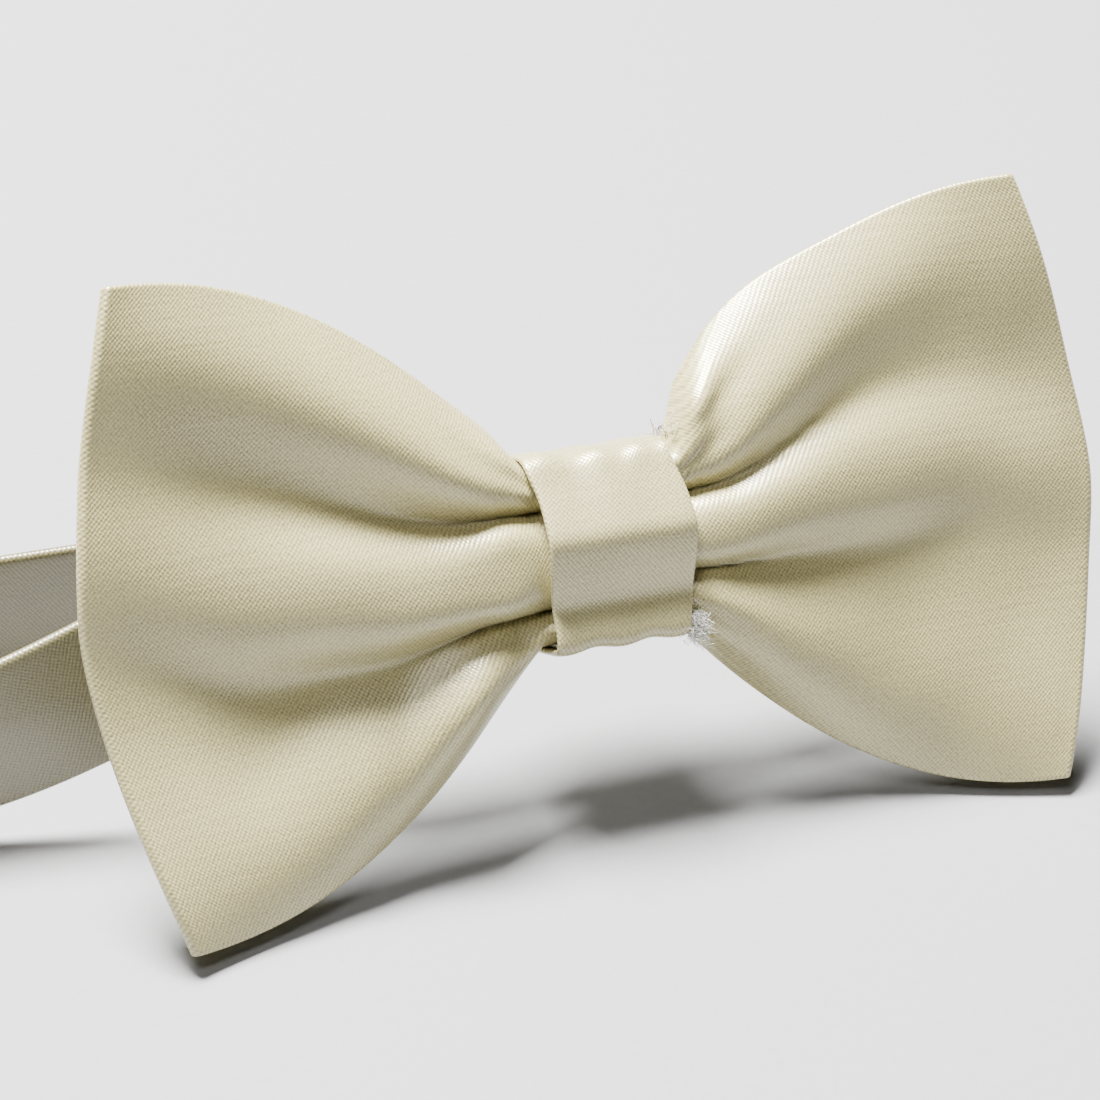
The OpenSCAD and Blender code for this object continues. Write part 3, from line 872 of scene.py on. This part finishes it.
def sliderParts():
    # flat bars: two behind both layers and one in front, joined by a flat rail past each strap edge
    half = strapPlan["width"] / 2 + clasp["railPast"]
    frontY, backY = rearY - clasp["barClear"], rearY + strapPlan["layerStep"] + clasp["barClear"]
    x0 = frontStrap[0] + clasp["sliderX"]
    parts = []
    for end in (-1, 1):
        t = np.linspace(-1, 1, 40)
        path = np.stack([x0 + t * clasp["sliderLength"] / 2, 0 * t + (frontY + backY) / 2,
                         0 * t + strapHeight + end * half], -1)
        rail = flatProfile(backY - frontY + clasp["barWidth"], clasp["railThick"], 10, 5)
        taper = np.sqrt(1 - 0.35 * np.abs(t) ** 12)[:, None, None]
        parts.append(sweep(path, frameNormals(path, (0, 0, 1)), rail * taper))
    for x, y in ((-clasp["barX"], backY), (clasp["barX"], backY), (0, frontY)):
        z = np.linspace(-half, half, 40)
        path = np.stack([0 * z + x0 + x, 0 * z + y, z + strapHeight], -1)
        bar = flatProfile(clasp["barWidth"], clasp["barThick"], 6, 4)
        parts.append(sweep(path, frameNormals(path, (0, 1, 0)), bar))
    return parts


sliderPiece = buildMesh("strapSlider", sliderParts(), platedWire)
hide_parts("slider")
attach(sliderPiece, "slider")
print("clasp made")

# Lining fibres and frayed threads by the knot

rng = np.random.default_rng(7)
tuftPlan = {"count": 460, "centre": (8.5, -5.4, -10.1), "spread": (0.62, 0.22, 0.85),
            "direction": (0.3, -0.5, -0.45), "length": 0.95, "radius": 0.032, "curl": 0.30}
frayPlan = {"count": 16, "centre": (8.0, -3.6, 11.4), "spread": (0.6, 0.5, 0.35),
            "direction": (-0.1, -0.2, 0.9), "length": 1.6, "radius": 0.05, "curl": 0.5}
scrapPlan = {"width": 2.5, "thick": 0.35, "crumple": 0.22}


def fibres(count, centre, spread, direction, length, radius, curl):
    # short curved hairs: start + direction * length * t + a bend that grows with t²
    parts = []
    for _ in range(count):
        start = np.array(centre) + rng.normal(0, 1, 3) * spread
        aim = unit(np.array(direction) + rng.normal(0, 0.55, 3))
        bend = rng.normal(0, curl, 3)
        t = np.linspace(0, 1, 7)[:, None]
        path = fromBow(start + aim * t * length * rng.uniform(0.5, 1.2) + bend * t * t)
        hint = unit(np.cross(aim, rng.normal(0, 1, 3)))
        parts.append(sweep(path, frameNormals(path, hint), roundProfile(radius, 4)))
    return parts


def scrapPart():
    # a crumpled tongue of lining beside the knot: its width swells as a sine, its face as sine * sine
    t = np.linspace(0, 1, 40)
    path = np.stack([7.5 + 1.6 * t, -5.1 - 0.5 * np.sin(t * pi), -8.4 - 3.0 * t], -1)
    profile = flatProfile(scrapPlan["width"], scrapPlan["thick"], 22, 3)
    across = profile[:, 0][None] * (0.35 + 0.75 * np.sin(pi * (0.12 + 0.76 * t)))[:, None]
    crumple = scrapPlan["crumple"] * np.sin(profile[:, 0] * 4.1)[None] * np.sin(t * 7)[:, None]
    crumple = crumple + 0.12 * np.cos(t * 17)[:, None]
    section = np.stack([across * (1 + 0.12 * np.cos(t * 23))[:, None], profile[:, 1][None] + crumple], -1)
    path = fromBow(path)
    return sweep(path, frameNormals(path, (0, -1, 0.3)), section)


tuft = buildMesh("liningTuft", [scrapPart()] + fibres(**tuftPlan), whiteLining)
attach(tuft, "bow")
frays = buildMesh("satinFrays", fibres(**frayPlan), satinThread)
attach(frays, "bow")
print("fibres made")

# The room: floor, lights and camera

roomPlan = {"floorSize": 6, "worldStrength": 0.03, "windowPower": 150.0, "windowSize": 0.36,
            "topPower": 5.0, "topSize": 0.30}


def floorMaterial():
    # a pale matt table with a very fine grain
    s = Shader("paleTable")
    grain = s.noise(s.coords.outputs["Object"], 900.0, 3.0)
    colour = s.mix(grain, (0.235, 0.238, 0.247, 1), (0.270, 0.273, 0.283, 1))
    return s.finish(Base_Color=colour, Roughness=0.7, Normal=s.bump(grain, 0.05, 0.0002))


bpy.ops.mesh.primitive_plane_add(size=roomPlan["floorSize"])
floor = bpy.context.object
floor.name = "table"
floor.data.materials.append(floorMaterial())

world = bpy.data.worlds.new("paleRoom")
bpy.context.scene.world = world
world.use_nodes = True
world.node_tree.nodes["Background"].inputs["Color"].default_value = (0.93, 0.95, 1.0, 1)
world.node_tree.nodes["Background"].inputs["Strength"].default_value = roomPlan["worldStrength"]


def areaLight(name, place, target, size, power, colour):
    # a square soft light, turned towards its target
    data = bpy.data.lights.new(name, "AREA")
    data.shape = "RECTANGLE"
    data.size = data.size_y = size
    data.energy = power
    data.color = colour
    lamp = bpy.data.objects.new(name, data)
    bpy.context.scene.collection.objects.link(lamp)
    lamp.location = place
    lamp.rotation_mode = "QUATERNION"
    lamp.rotation_quaternion = (Vector(target) - Vector(place)).to_track_quat("-Z", "Y")


middle = tuple(bowOrigin * mm)
areaLight("windowLight", (-0.15, 0.40, 1.08), middle, roomPlan["windowSize"], roomPlan["windowPower"],
          (1.0, 0.99, 0.96))
areaLight("topLight", (-0.40, -0.30, 1.0), middle, roomPlan["topSize"], roomPlan["topPower"],
          (1.0, 0.99, 0.97))

viewPlan = {
    "yaw": math.radians(24.7),
    "pitch": math.radians(35.3),
    "roll": math.radians(5.6),
    "lens": 99.9,
    "distance": 0.3414,
    "aim": (-4.9, 1.5, -1.0),    # from the bow's origin, in millimetres
}
fwd = Vector((math.sin(viewPlan["yaw"]) * math.cos(viewPlan["pitch"]),
              math.cos(viewPlan["yaw"]) * math.cos(viewPlan["pitch"]), -math.sin(viewPlan["pitch"])))
level = Vector((math.cos(viewPlan["yaw"]), -math.sin(viewPlan["yaw"]), 0))
upright = level.cross(fwd)
right = level * math.cos(viewPlan["roll"]) + upright * math.sin(viewPlan["roll"])
up = upright * math.cos(viewPlan["roll"]) - level * math.sin(viewPlan["roll"])
cameraData = bpy.data.cameras.new("camera")
cameraData.lens = viewPlan["lens"]
cameraData.sensor_width = 36.0
cameraData.clip_start = 0.01
camera = bpy.data.objects.new("camera", cameraData)
bpy.context.scene.collection.objects.link(camera)
aim = Vector(bowOrigin * mm) + Vector(viewPlan["aim"]) * mm
camera.matrix_world = Matrix.Translation(aim - fwd * viewPlan["distance"]) @ Matrix(
    (right, up, -fwd)).transposed().to_4x4()
bpy.context.scene.camera = camera
